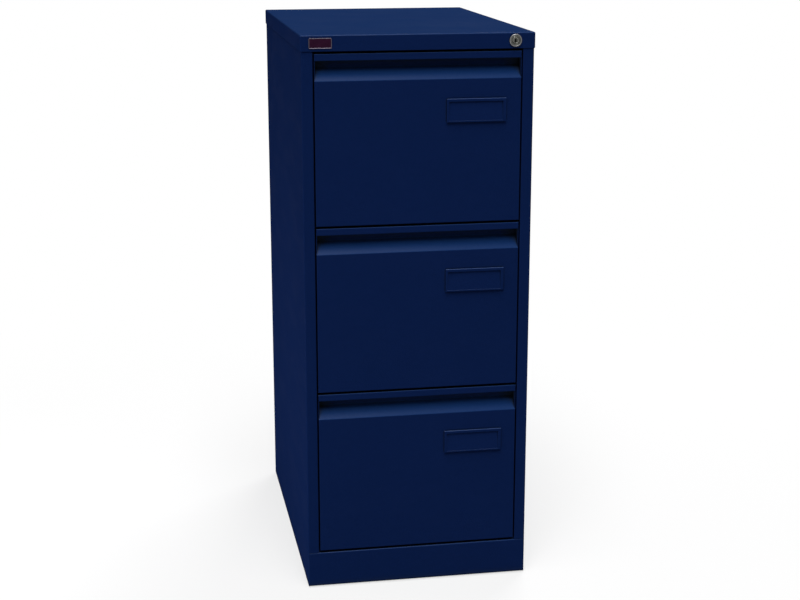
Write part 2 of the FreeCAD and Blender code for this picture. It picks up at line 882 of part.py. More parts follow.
def build_label_holder(number):
    """Frame with a leaning bed for a card, whose upper edge tucks in behind the top bar."""
    body = drawer_body("label_holder", number)
    left = "holder_left + holder_left_bar"
    right = "holder_right - holder_right_bar"
    low = "holder_bottom + holder_bottom_bar"
    high = "holder_top - holder_top_bar"
    outline = box("holder_left", "holder_right", "holder_bottom", "holder_top")
    pad(body, "XZ", "-holder_depth", "holder_depth", outline)
    bed = [
        ("-holder_depth - overcut", low),
        ("bed_foot - holder_depth", low),
        ("bed_head - holder_depth", f"{high} + card_tuck"),
        ("bed_head - holder_depth - card_slot", f"{high} + card_tuck"),
        ("bed_head - holder_depth - card_slot", high),
        ("-holder_depth - overcut", high),
    ]
    cut(body, "YZ", left, f"({right}) - ({left})", bed)
    round_edges(body, "holder_top_edge", runs_along("x", y=["-holder_depth"], z=["holder_top"]))
    round_edges(
        body,
        "holder_corner",
        runs_along("y", x=["holder_left", "holder_right"], z=["holder_bottom", "holder_top"]),
        runs_along("z", x=["holder_left", "holder_right"], y=["-holder_depth"]),
        runs_along("x", y=["-holder_depth"], z=["holder_bottom"]),
    )
    round_edges(
        body,
        "holder_edge",
        runs_along("x", y=["-holder_depth"], z=[low, high]),
        runs_along("z", x=[left, right], y=["-holder_depth"]),
    )
    return body


def build_drawer_tray(number):
    """Floor and two sides folded from one sheet. The hemmed top edges carry hanging files."""
    body = drawer_body("drawer_tray", number)
    fold = "tray_top - tray_hem"
    hem_inner = "tray_inner - tray_sheet"
    right_side = [
        ("tray_half", "tray_rise"),
        ("tray_half", "tray_top"),
        (hem_inner, "tray_top"),
        (hem_inner, fold),
        ("tray_inner", fold),
        ("tray_inner", "tray_rise + tray_sheet"),
    ]
    section = right_side + mirrored(right_side, "-")[::-1]
    pad(body, "XZ", "front_depth", "tray_length", section)
    round_edges(body, "tray_bend", runs_along("y", x=["tray_half", "-tray_half"], z=["tray_rise"]))
    flanges = []
    for side in SIDES:
        flange = box(
            "tray_inner - tray_flange",
            "tray_inner + tray_sheet / 2",
            "tray_rise + tray_flange_end",
            f"{fold} - tray_flange_end",
        )
        flanges.append(mirrored(flange, side))
    pad(body, "XZ", "front_depth", "tray_sheet", *flanges)
    cut(body, "XZ", "front_depth", "tray_sheet", *screw_spots("screw_hole"))
    # stiffening ribs pressed up across the floor
    ribs = []
    for step in range(FLOOR_RIBS):
        middle = f"front_depth + tray_length * {step + 1} / {FLOOR_RIBS + 1}"
        near = f"{middle} - rib_width / 2"
        far = f"{middle} + rib_width / 2"
        ribs.append(box("rib_inset - tray_inner", "tray_inner - rib_inset", near, far))
    pad(body, "XY", "tray_rise + tray_sheet / 2", "tray_sheet / 2 + rib_height", *ribs)
    return body


def build_drawer_back(number):
    body = drawer_body("drawer_back", number)
    low = "tray_rise + tray_sheet"
    outline = box("-tray_inner", "tray_inner", low, f"{low} + back_height")
    pad(body, "XZ", "tray_end - tray_sheet", "tray_sheet", outline)
    return body


def build_lock_catch(number):
    """Angle on the tray's right side that meets the raised lock tab."""
    body = drawer_body("lock_catch", number)
    rear = "catch_front + catch_sheet"
    angle = [
        ("tray_half", "catch_front"),
        ("catch_outer", "catch_front"),
        ("catch_outer", rear),
        ("tray_half + catch_sheet", rear),
        ("tray_half + catch_sheet", "catch_front + catch_length"),
        ("tray_half", "catch_front + catch_length"),
    ]
    pad(body, "XY", "catch_bottom", "catch_height", angle)
    return body


def build_front_screws(number):
    """Four screws that hold the tray's front flanges to the liner."""
    body = drawer_body("front_screws", number)
    seat = "front_depth + tray_sheet"
    pad(body, "XZ", seat, "screw_head_height", *screw_spots("screw_head"))
    pad(body, "XZ", f"{seat} - screw_length", "screw_length", *screw_spots("screw_diameter"))
    round_edges(body, "screw_dome", circles_at("y", f"{seat} + screw_head_height", "screw_head"))
    socket_floor = f"{seat} + screw_head_height - screw_socket_depth"
    cut(body, "XZ", socket_floor, "screw_socket_depth", *screw_spots("screw_socket"))
    return body


def slide_pair(name, number, section):
    """Left and right members of one pair of slides, drawn as sections and run along the slide's length."""
    body = drawer_body(name, number)
    pad(body, "XZ", "slide_front", "slide_length", *[mirrored(section, side) for side in SIDES])
    return body


def build_slide_outer(number):
    edge = "post_face - outer_reach"
    inner_edge = f"{edge} + slide_sheet"
    low = "slide_level - slide_half"
    high = "slide_level + slide_half"
    section = [
        ("post_face", low),
        (edge, low),
        (edge, f"{low} + slide_sheet + slide_lip"),
        (inner_edge, f"{low} + slide_sheet + slide_lip"),
        (inner_edge, f"{low} + slide_sheet"),
        ("post_face - slide_sheet", f"{low} + slide_sheet"),
        ("post_face - slide_sheet", f"{high} - slide_sheet"),
        (inner_edge, f"{high} - slide_sheet"),
        (inner_edge, f"{high} - slide_sheet - slide_lip"),
        (edge, f"{high} - slide_sheet - slide_lip"),
        (edge, high),
        ("post_face", high),
    ]
    return slide_pair("slide_outer", number, section)


def build_slide_middle(number):
    web = "post_face - middle_web"
    low = "slide_level - middle_half"
    high = "slide_level + middle_half"
    section = channel(web, "post_face - middle_reach", low, high, "-slide_sheet")
    return slide_pair("slide_middle", number, section)


def build_slide_inner(number):
    low = "slide_level - inner_half"
    high = "slide_level + inner_half"
    section = channel("tray_half", "post_face - inner_reach", low, high, "slide_sheet")
    return slide_pair("slide_inner", number, section)


def build_ball_cage(name, number, web, reach, level, ball_place):
    """Strip cages, left and right, with the balls in their holes above and below."""
    cage = doc.addObject("PartDesign::Body", f"{name}_strip_{number}")
    cage.AllowCompound = True
    low = f"slide_level - {level} - cage_sheet / 2"
    high = f"slide_level + {level} + cage_sheet / 2"
    section = channel(web, reach, low, high, "-cage_sheet")
    pad(cage, "XZ", "cage_front", "cage_length", *[mirrored(section, side) for side in SIDES])
    spacing = f"(cage_length - 2 * cage_end) / {BALLS_PER_ROW - 1}"
    steps = [f"cage_front + cage_end + {spacing} * {i}" for i in range(BALLS_PER_ROW)]
    holes = [(f"{side}({ball_place})", step, "ball_hole") for side in SIDES for step in steps]
    cut(cage, "XY", "slide_level - slide_half", "slide_height", *holes)
    pieces = [cage]
    for side in SIDES:
        for step in steps:
            for sign in ("+", "-"):
                ball = doc.addObject("Part::Sphere", f"{name}_ball_{number}")
                bind(ball, "Radius", "ball_diameter / 2")
                bind(ball, "Placement.Base.x", f"{side}({ball_place})")
                bind(ball, "Placement.Base.y", step)
                bind(ball, "Placement.Base.z", f"slide_level {sign} {level}")
                pieces.append(ball)
    group = doc.addObject("Part::Compound", f"{name}_{number}")
    group.Label = f"{name}_{number}"
    group.Links = pieces
    bind(group, "Placement.Base.y", "-body_rear")
    bind(group, "Placement.Base.z", f"bottom_{number}")
    doc.recompute()
    return group


def build_outer_cage(number):
    return build_ball_cage(
        "ball_cage_outer",
        number,
        "post_face - slide_sheet - cage_gap",
        "post_face - outer_reach + slide_sheet + cage_gap",
        "outer_ball_level",
        "post_face - outer_ball_place",
    )


def build_inner_cage(number):
    return build_ball_cage(
        "ball_cage_inner",
        number,
        "post_face - middle_web - slide_sheet - cage_gap",
        "post_face - middle_reach",
        "inner_ball_level",
        "post_face - inner_ball_place",
    )


def build_all():
    nodes = [
        build_side_panel("side_panel_left", "-"),
        build_side_panel("side_panel_right", ""),
        build_top_cap(),
        build_back_panel(),
        build_plinth(),
        build_base_pan(),
        build_top_rail(),
        build_divider_rails(),
        build_post("runner_post_front_left", "-", "post_front"),
        build_post("runner_post_front_right", "", "post_front"),
        build_post("runner_post_rear_left", "-", "rear_post_front"),
        build_post("runner_post_rear_right", "", "rear_post_front"),
        build_floor_glides(),
        build_lock_housing(),
        build_lock_nut(),
        build_lock_plug(),
        build_lock_cam(),
        build_cam_screw(),
        build_lock_bar(),
        build_lock_arm(),
        build_lock_tabs(),
        build_lock_bar_guides(),
        build_badge_plate(),
    ]
    for number in DRAWERS:
        nodes += [
            build_drawer_front(number),
            build_front_liner(number),
            build_label_holder(number),
            build_drawer_tray(number),
            build_drawer_back(number),
            build_lock_catch(number),
            build_front_screws(number),
            build_slide_outer(number),
            build_slide_middle(number),
            build_slide_inner(number),
            build_outer_cage(number),
            build_inner_cage(number),
        ]
    return nodes


def check_objects():
    for thing in doc.Objects:
        if "Invalid" in thing.State or "Error" in thing.State:
            raise RuntimeError(f"{thing.Name} did not build: {thing.State}")


def export(nodes):
    os.makedirs("parts", exist_ok=True)
    for node in nodes:
        shape = node.Shape
        if shape.isNull() or not shape.isValid():
            raise RuntimeError(f"{node.Label} has no valid shape")
        shape.exportStep(f"parts/{node.Label}.step")


fill_sheets()
made = build_all()
doc.recompute()
check_objects()
export(made)
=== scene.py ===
import json
import math

import bmesh
import bpy
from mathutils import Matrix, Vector


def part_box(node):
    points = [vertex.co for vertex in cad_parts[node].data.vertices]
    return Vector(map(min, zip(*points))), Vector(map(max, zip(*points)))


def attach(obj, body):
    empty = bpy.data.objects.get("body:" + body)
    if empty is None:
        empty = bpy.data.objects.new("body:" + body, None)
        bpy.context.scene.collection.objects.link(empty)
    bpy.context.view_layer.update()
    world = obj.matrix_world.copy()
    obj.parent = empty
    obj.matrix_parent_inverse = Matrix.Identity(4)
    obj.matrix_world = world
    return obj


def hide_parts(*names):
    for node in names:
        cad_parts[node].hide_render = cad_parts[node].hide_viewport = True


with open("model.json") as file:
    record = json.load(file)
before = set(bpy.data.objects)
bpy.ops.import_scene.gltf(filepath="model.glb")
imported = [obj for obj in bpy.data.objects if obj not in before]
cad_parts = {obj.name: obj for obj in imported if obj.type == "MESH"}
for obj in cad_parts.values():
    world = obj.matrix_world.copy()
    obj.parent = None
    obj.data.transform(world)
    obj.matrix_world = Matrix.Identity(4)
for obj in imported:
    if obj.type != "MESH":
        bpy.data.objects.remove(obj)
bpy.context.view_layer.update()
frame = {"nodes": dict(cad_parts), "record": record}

MM_PER_M = 1000.0


# Node helpers

def feed(tree, socket, value):
    """Join a socket to another node's output, or set it to a plain value."""
    if isinstance(value, bpy.types.NodeSocket):
        tree.links.new(value, socket)
    else:
        socket.default_value = value


def feed_named(tree, node, **inputs):
    """Feed a node's inputs by name, with _ for a space."""
    for name, value in inputs.items():
        feed(tree, node.inputs[name.replace("_", " ")], value)


def add(tree, kind, settings=None, **inputs):
    """A node with its settings, and its inputs fed by name."""
    node = tree.nodes.new(kind)
    for name, value in (settings or {}).items():
        setattr(node, name, value)
    feed_named(tree, node, **inputs)
    return node


def reckon(tree, kind, operation, terms):
    """Outputs of a node that works on its terms in their order."""
    node = add(tree, kind, {"operation": operation})
    for socket, term in zip(node.inputs, terms):
        feed(tree, socket, term)
    return node.outputs


def maths(tree, operation, *terms):
    return reckon(tree, "ShaderNodeMath", operation, terms)[0]


def vector_maths(tree, operation, *terms, output="Vector"):
    return reckon(tree, "ShaderNodeVectorMath", operation, terms)[output]


def one_by_one(tree, operation, terms):
    """The first term, worked on by each of the others in turn."""
    total = terms[0]
    for term in terms[1:]:
        total = maths(tree, operation, total, term)
    return total


def plus(tree, *terms):
    return one_by_one(tree, "ADD", terms)


def minus(tree, *terms):
    return one_by_one(tree, "SUBTRACT", terms)


def times(tree, *terms):
    return one_by_one(tree, "MULTIPLY", terms)


def ramp(tree, value, low, high, start=0.0, end=1.0):
    """Value carried smoothly from the span low to high onto the span start to end."""
    smooth = {"interpolation_type": "SMOOTHSTEP"}
    spans = {"From_Min": low, "From_Max": high, "To_Min": start, "To_Max": end}
    return add(tree, "ShaderNodeMapRange", smooth, Value=value, **spans).outputs[0]


# Where the colour mixing node keeps its share, its two colours and its result
MIX_SHARE = 0
MIX_UNDER = 6
MIX_OVER = 7
MIX_RESULT = 2


def tint(tree, share, under, over, amount=1.0):
    """Colour under where share is 0, carried amount of the way to colour over where share is 1."""
    node = add(tree, "ShaderNodeMix", {"data_type": "RGBA"})
    feed(tree, node.inputs[MIX_SHARE], share if amount == 1.0 else times(tree, share, amount))
    feed(tree, node.inputs[MIX_UNDER], under)
    feed(tree, node.inputs[MIX_OVER], over)
    return node.outputs[MIX_RESULT]


def place_on_piece(tree):
    return add(tree, "ShaderNodeTexCoord").outputs["Object"]


def split(tree, vector):
    return add(tree, "ShaderNodeSeparateXYZ", Vector=vector).outputs


def facing(tree):
    """Which way the surface looks, on the piece's own axes."""
    return split(tree, add(tree, "ShaderNodeTexCoord").outputs["Normal"])


def grain(tree, size, detail=2.0, stretch=(1.0, 1.0, 1.0), roughness=0.5):
    """Noise whose lumps are about size metres across, stretched along the axes."""
    spot = vector_maths(tree, "DIVIDE", place_on_piece(tree), stretch)
    noise = add(tree, "ShaderNodeTexNoise", Vector=spot, Detail=detail, Roughness=roughness)
    feed(tree, noise.inputs["Scale"], maths(tree, "DIVIDE", 1.0, size))
    return noise.outputs[0]


def open_air(tree, reach, samples):
    """1 where nothing stands within reach of the surface, less in corners and recesses."""
    return add(tree, "ShaderNodeAmbientOcclusion", {"samples": samples}, Distance=reach).outputs["AO"]


# Effects that several finishes share

def new_effect(name, output, **inputs):
    """An empty effect with one output, and inputs at their usual values."""
    tree = bpy.data.node_groups.new(name, "ShaderNodeTree")
    for socket, usual in inputs.items():
        made = tree.interface.new_socket(name=socket, in_out="INPUT", socket_type="NodeSocketFloat")
        made.default_value = usual
    tree.interface.new_socket(name=output, in_out="OUTPUT", socket_type="NodeSocketFloat")
    given = tree.nodes.new("NodeGroupInput").outputs
    result = tree.nodes.new("NodeGroupOutput").inputs[output]
    return tree, given, result


def make_slow_mottle():
    """Broad, faint unevenness of a coat, a plating or a plastic, about 0.5 on average."""
    tree, given, result = new_effect("slow_mottle", "Shade", Size=0.12, Contrast=1.0)
    average = 0.5
    broad_share, fine_share = 0.7, 0.3
    fine_size = times(tree, given["Size"], 0.13)
    broad = grain(tree, given["Size"], detail=3.0)
    fine = grain(tree, fine_size, detail=2.0)
    both = plus(tree, times(tree, broad, broad_share), times(tree, fine, fine_share))
    off_average = times(tree, minus(tree, both, average), given["Contrast"])
    feed(tree, result, plus(tree, off_average, average))
    return tree


def make_edge_rub():
    """1 along outer edges and bends, 0 on flats and in inner corners, with gaps where the rub is broken."""
    tree, given, result = new_effect("edge_rub", "Rub", Width=0.002, Patch=0.02, Broken=0.5)
    rounded = add(tree, "ShaderNodeBevel", {"samples": 6}, Radius=given["Width"]).outputs[0]
    flat = add(tree, "ShaderNodeNewGeometry").outputs["Normal"]
    likeness = vector_maths(tree, "DOT_PRODUCT", rounded, flat, output="Value")
    bent = ramp(tree, likeness, low=0.995, high=0.90)
    reach = times(tree, given["Width"], 4.0)
    outer = ramp(tree, open_air(tree, reach, samples=6), low=0.55, high=0.9)
    lumps = ramp(tree, grain(tree, given["Patch"], detail=4.0, roughness=0.65), low=0.35, high=0.65)
    lost = times(tree, given["Broken"], minus(tree, 1.0, lumps))
    feed(tree, result, times(tree, bent, outer, minus(tree, 1.0, lost)))
    return tree


def make_upper_bends():
    """1 on bends and slopes that look up and forward, 0 on faces square to the cabinet; there a painted
    highlight lightens the coat and the coat is glossier.
    """
    tree, given, result = new_effect("upper_bends", "Bend", Square=0.985)
    blend = 0.05
    look = facing(tree)
    upward = look["Z"]
    forward = times(tree, look["Y"], -1.0)
    nearest = maths(tree, "MAXIMUM", forward, upward)
    off_square = ramp(tree, nearest, low=given["Square"], high=minus(tree, given["Square"], blend))
    slopes = [ramp(tree, way, low=0.1, high=0.4) for way in (upward, forward)]
    feed(tree, result, times(tree, off_square, times(tree, *slopes)))
    return tree


def make_painted_top_light():
    """Painted light: a lighter coat on faces that look up, where the light falls, with soft unevenness."""
    tree, given, result = new_effect("painted_top_light", "Fade", Patch=0.2)
    upward = ramp(tree, facing(tree)["Z"], low=0.05, high=0.6)
    uneven = ramp(tree, grain(tree, given["Patch"], detail=3.0), low=0.2, high=0.8, start=0.85)
    feed(tree, result, times(tree, upward, uneven))
    return tree


def make_settled_dust():
    """Dust on faces that look up, in soft patches."""
    tree, given, result = new_effect("settled_dust", "Dust", Patch=0.05, Amount=0.3)
    level = ramp(tree, facing(tree)["Z"], low=0.75, high=1.0)
    patches = ramp(tree, grain(tree, given["Patch"], detail=5.0, roughness=0.6), low=0.3, high=0.75)
    feed(tree, result, times(tree, level, patches, given["Amount"]))
    return tree


def make_corner_painted_shade():
    """Painted shade: 1 deep in recesses and inner corners, where shade falls, thinning out towards the
    open, in uneven lumps.
    """
    tree, given, result = new_effect("corner_painted_shade", "Painted_Shade", Reach=0.03, Patch=0.02)
    deep = ramp(tree, open_air(tree, given["Reach"], samples=8), low=0.78, high=0.48)
    lumps = grain(tree, given["Patch"], detail=4.0, stretch=(3.0, 1.0, 1.0), roughness=0.6)
    uneven = ramp(tree, lumps, low=0.25, high=0.75, start=0.8)
    feed(tree, result, times(tree, deep, uneven))
    return tree


def make_hand_smears():
    """Soft blotches left by hands and wiping."""
    tree, given, result = new_effect("hand_smears", "Smear", Size=0.03)
    wiped = grain(tree, given["Size"], detail=3.0, stretch=(2.5, 2.5, 0.8), roughness=0.6)
    feed(tree, result, ramp(tree, wiped, low=0.42, high=0.68))
    return tree


def make_rolled_streaks():
    """Long fine lines along the depth of the cabinet, as rolled or brushed strip has."""
    tree, given, result = new_effect("rolled_streaks", "Streak", Pitch=0.0006)
    fine_share, broad_share = 0.6, 0.4
    broad_pitch = times(tree, given["Pitch"], 6.0)
    fine = grain(tree, given["Pitch"], detail=3.0, stretch=(1.0, 60.0, 1.0), roughness=0.6)
    broad = grain(tree, broad_pitch, detail=2.0, stretch=(1.0, 40.0, 1.0))
    both = plus(tree, times(tree, fine, fine_share), times(tree, broad, broad_share))
    feed(tree, result, ramp(tree, both, low=0.3, high=0.7))
    return tree


effects = {
    "mottle": make_slow_mottle(),
    "edge_rub": make_edge_rub(),
    "bends": make_upper_bends(),
    "lit_tops": make_painted_top_light(),
    "dust": make_settled_dust(),
    "painted_shade": make_corner_painted_shade(),
    "smears": make_hand_smears(),
    "streaks": make_rolled_streaks(),
}


def use(tree, effect, **inputs):
    """An effect placed in a finish with its own values."""
    return add(tree, "ShaderNodeGroup", {"node_tree": effects[effect]}, **inputs).outputs[0]


# Finishes

NAVY = (0.0047, 0.0158, 0.0760, 1.0)
NAVY_THIN = (0.0110, 0.0300, 0.1080, 1.0)
NAVY_DEEP = (0.0042, 0.0144, 0.0700, 1.0)
# Painted light: a lighter coat on faces that look up
NAVY_PAINTED_TOP_LIGHT = (0.0064, 0.0218, 0.0810, 1.0)
# Painted highlight: a lighter coat on bends and slopes that look up and forward
NAVY_PAINTED_HIGHLIGHT = (0.0062, 0.0285, 0.1130, 1.0)
NAVY_SCUFFED = (0.0200, 0.0400, 0.1050, 1.0)
# Painted shade: dark colours laid into the pulls' recesses and into seams and inner corners, where shade
# falls
PULL_PAINTED_SHADE = (0.0130, 0.0185, 0.0250, 1.0)
SEAM_PAINTED_SHADE = (0.0012, 0.0036, 0.0130, 1.0)
HOUSE_DUST = (0.060, 0.075, 0.110, 1.0)

ZINC_CLOUDED = (0.43, 0.44, 0.45, 1.0)
ZINC_CLEAR = (0.60, 0.61, 0.60, 1.0)
ZINC_STREAKED = (0.36, 0.37, 0.39, 1.0)
ZINC_RUBBED = (0.74, 0.74, 0.73, 1.0)

BALL_STEEL_GREASED = (0.52, 0.51, 0.49, 1.0)
BALL_STEEL_CLEAN = (0.68, 0.68, 0.67, 1.0)

NICKEL_DULL = (0.043, 0.045, 0.038, 1.0)
NICKEL_CLEAR = (0.118, 0.118, 0.102, 1.0)
NICKEL_RIM = (0.175, 0.175, 0.180, 1.0)
NICKEL_GROOVED = (0.07, 0.07, 0.07, 1.0)
NICKEL_RUBBED = (0.66, 0.65, 0.63, 1.0)
# Painted shade laid into the lock's grooves, gaps and keyway
LOCK_PAINTED_SHADE = (0.012, 0.012, 0.011, 1.0)

GLIDE_BLACK = (0.010, 0.010, 0.011, 1.0)
GLIDE_BLACK_PALER = (0.020, 0.020, 0.021, 1.0)
GUIDE_NATURAL = (0.55, 0.53, 0.47, 1.0)
GUIDE_NATURAL_PALER = (0.68, 0.66, 0.60, 1.0)

ENAMEL_DEEP = (0.018, 0.0036, 0.0150, 1.0)
ENAMEL_THIN = (0.034, 0.0066, 0.0250, 1.0)
BADGE_RIM_DARK = (0.055, 0.047, 0.062, 1.0)
BADGE_RIM_BRIGHT = (0.105, 0.092, 0.118, 1.0)

# The span of the mottle's shade that the roughness of a finish follows
MOTTLE_SPAN = {"low": 0.2, "high": 0.8}


def new_finish(name):
    """A finish with its shader, whose values the caller feeds."""
    finish = bpy.data.materials.new(name)
    finish.use_nodes = True
    tree = finish.node_tree
    tree.nodes.clear()
    shader = tree.nodes.new("ShaderNodeBsdfPrincipled")
    output = tree.nodes.new("ShaderNodeOutputMaterial")
    tree.links.new(shader.outputs[0], output.inputs["Surface"])
    return finish, tree, shader


def raise_surface(tree, shader, height, depth, strength=1.0):
    """Fine relief of a finish, where a height of 1 stands up by depth metres."""
    bump = add(tree, "ShaderNodeBump", Height=height, Distance=depth, Strength=strength)
    feed_named(tree, shader, Normal=bump.outputs[0])


def navy_powder_coat(name, painted_highlight, polish, sheen, painted_shade, scuffs=0.0, pull_edge=None):
    """Powder coat on sheet steel: orange peel, thin on outer edges, polished where a bend looks up, with
    painted light on faces that look up, a painted highlight on bends and slopes that look up and forward,
    and painted shade in recesses and inner corners.

    With pull_edge, the Y of a front's face, the polish fades from there into the pull.
    """
    finish, tree, shader = new_finish(name)
    shade = use(tree, "mottle", Size=0.16, Contrast=1.4)
    rub = use(tree, "edge_rub", Width=0.0022, Patch=0.03, Broken=0.55)
    film = use(tree, "dust", Patch=0.07, Amount=0.035)
    smear = use(tree, "smears", Size=0.05)
    bend = use(tree, "bends")
    coat = tint(tree, shade, NAVY_DEEP, NAVY)
    # Painted light lightens faces that look up
    coat = tint(tree, use(tree, "lit_tops"), coat, NAVY_PAINTED_TOP_LIGHT)
    # Painted highlight lightens bends and slopes that look up and forward
    coat = tint(tree, bend, coat, NAVY_PAINTED_HIGHLIGHT, amount=painted_highlight)
    coat = tint(tree, rub, coat, NAVY_THIN, amount=0.25)
    if scuffs:
        scratches = ramp(tree, use(tree, "streaks", Pitch=0.0011), low=0.6, high=1.0)
        coat = tint(tree, times(tree, scratches, smear), coat, NAVY_SCUFFED, amount=scuffs)
    coat = tint(tree, film, coat, HOUSE_DUST)
    # Painted shade darkens the pulls' recesses, then the seams and inner corners
    coat = tint(tree, use(tree, "painted_shade", Reach=0.030, Patch=0.02), coat, PULL_PAINTED_SHADE, amount=painted_shade)
    coat = tint(tree, use(tree, "painted_shade", Reach=0.006, Patch=0.03), coat, SEAM_PAINTED_SHADE, amount=0.85)

    smear_smooths, film_dulls = 0.06, 0.3
    dull = ramp(tree, shade, **MOTTLE_SPAN, start=0.50, end=0.58)
    dull = minus(tree, dull, times(tree, smear, smear_smooths))
    dull = plus(tree, dull, times(tree, film, film_dulls))

    handled = times(tree, bend, polish)
    if pull_edge is not None:
        inward = minus(tree, split(tree, place_on_piece(tree))["Y"], pull_edge)
        handled = times(tree, handled, ramp(tree, inward, low=0.0095, high=0.001, start=0.02, end=1.65))
    even_shine = ramp(tree, smear, low=0.0, high=1.0, start=0.7 * sheen, end=1.3 * sheen)
    shine = plus(tree, handled, even_shine)

    feed_named(tree, shader, Base_Color=coat, Roughness=dull, Coat_Weight=shine)
    feed_named(tree, shader, Coat_Roughness=0.28, Specular_IOR_Level=0.0)
    fine_peel = grain(tree, size=0.0016, detail=2.0)
    broad_peel = grain(tree, size=0.006, detail=1.0)
    broad_share = 0.8
    peel = plus(tree, fine_peel, times(tree, broad_peel, broad_share))
    raise_surface(tree, shader, peel, depth=0.00024)
    return finish


def zinc_plate(name):
    """Bright zinc on cold rolled strip: streaks, cloudy passivate, edges rubbed bright."""
    finish, tree, shader = new_finish(name)
    streak = use(tree, "streaks", Pitch=0.0005)
    cloud = use(tree, "mottle", Size=0.022, Contrast=2.4)
    rub = use(tree, "edge_rub", Width=0.0009, Patch=0.012, Broken=0.6)
    smear = use(tree, "smears", Size=0.02)
    plate = tint(tree, cloud, ZINC_CLOUDED, ZINC_CLEAR)
    plate = tint(tree, streak, plate, ZINC_STREAKED, amount=0.25)
    plate = tint(tree, rub, plate, ZINC_RUBBED, amount=0.5)
    streak_dulls, smear_dulls = 0.06, 0.05
    dull = ramp(tree, cloud, **MOTTLE_SPAN, start=0.44, end=0.32)
    dull = plus(tree, dull, times(tree, streak, streak_dulls), times(tree, smear, smear_dulls))
    feed_named(tree, shader, Base_Color=plate, Metallic=1.0, Roughness=dull)
    relief = plus(tree, streak, grain(tree, size=0.003, detail=2.0))
    raise_surface(tree, shader, relief, depth=0.00003, strength=0.5)
    return finish


def polished_steel(name):
    """Bearing balls and their cages, with a film of grease."""
    finish, tree, shader = new_finish(name)
    cloud = use(tree, "mottle", Size=0.008, Contrast=2.0)
    streak = use(tree, "streaks", Pitch=0.0004)
    steel = tint(tree, cloud, BALL_STEEL_GREASED, BALL_STEEL_CLEAN)
    dull = ramp(tree, cloud, **MOTTLE_SPAN, start=0.16, end=0.26)
    feed_named(tree, shader, Base_Color=steel, Metallic=1.0, Roughness=dull)
    raise_surface(tree, shader, streak, depth=0.00001, strength=0.3)
    return finish


def satin_nickel(name, centre, rim):
    """Lock faces: turned rings under dull nickel, paler from the radius rim outwards, with rubbed edges and
    painted shade in grooves, gaps and the keyway.
    """
    turning_pitch = 0.00045
    turning_wander = 0.0004
    rim_blend = 0.0006
    finish, tree, shader = new_finish(name)
    across = split(tree, vector_maths(tree, "SUBTRACT", place_on_piece(tree), centre))
    squares = [maths(tree, "POWER", across[axis], 2.0) for axis in "XZ"]
    radius = maths(tree, "SQRT", plus(tree, *squares))
    wander = times(tree, grain(tree, size=0.004, detail=2.0), turning_wander)
    wave = maths(tree, "SINE", times(tree, plus(tree, radius, wander), 2.0 * math.pi / turning_pitch))
    groove = ramp(tree, wave, low=-1.0, high=1.0)
    cloud = use(tree, "mottle", Size=0.006, Contrast=2.6)
    rub = use(tree, "edge_rub", Width=0.0007, Patch=0.006, Broken=0.4)
    smear = use(tree, "smears", Size=0.008)
    metal = tint(tree, cloud, NICKEL_DULL, NICKEL_CLEAR)
    metal = tint(tree, ramp(tree, radius, low=rim, high=rim + rim_blend), metal, NICKEL_RIM)
    metal = tint(tree, groove, metal, NICKEL_GROOVED, amount=0.25)
    # Painted shade darkens the grooves, gaps and keyway
    metal = tint(tree, use(tree, "painted_shade", Reach=0.0025, Patch=0.004), metal, LOCK_PAINTED_SHADE, amount=0.9)
    metal = tint(tree, rub, metal, NICKEL_RUBBED, amount=0.6)
    smear_dulls = 0.08
    dull = ramp(tree, cloud, **MOTTLE_SPAN, start=0.36, end=0.26)
    dull = plus(tree, dull, times(tree, smear, smear_dulls))
    feed_named(tree, shader, Base_Color=metal, Metallic=1.0, Roughness=dull)
    raise_surface(tree, shader, groove, depth=0.00002, strength=0.6)
    return finish


def moulded_plastic(name, colour, paler, dull):
    """Moulded plastic with a spark-eroded grain and scuffed edges."""
    finish, tree, shader = new_finish(name)
    shade = use(tree, "mottle", Size=0.02, Contrast=1.6)
    rub = use(tree, "edge_rub", Width=0.0012, Patch=0.006, Broken=0.6)
    film = use(tree, "dust", Patch=0.02, Amount=0.2)
    brighter, greyer = 1.6, 0.01
    scuffed = tuple(min(1.0, brighter * part + greyer) for part in paler[:3]) + (1.0,)
    body = tint(tree, shade, colour, paler)
    body = tint(tree, rub, body, scuffed, amount=0.35)
    film_dulls, dullest = 0.3, dull + 0.1
    rough = ramp(tree, shade, **MOTTLE_SPAN, start=dull, end=dullest)
    rough = plus(tree, rough, times(tree, film, film_dulls))
    feed_named(tree, shader, Base_Color=body, Roughness=rough, Specular_IOR_Level=0.35)
    raise_surface(tree, shader, grain(tree, size=0.0005, detail=2.0), depth=0.00004, strength=0.6)
    return finish


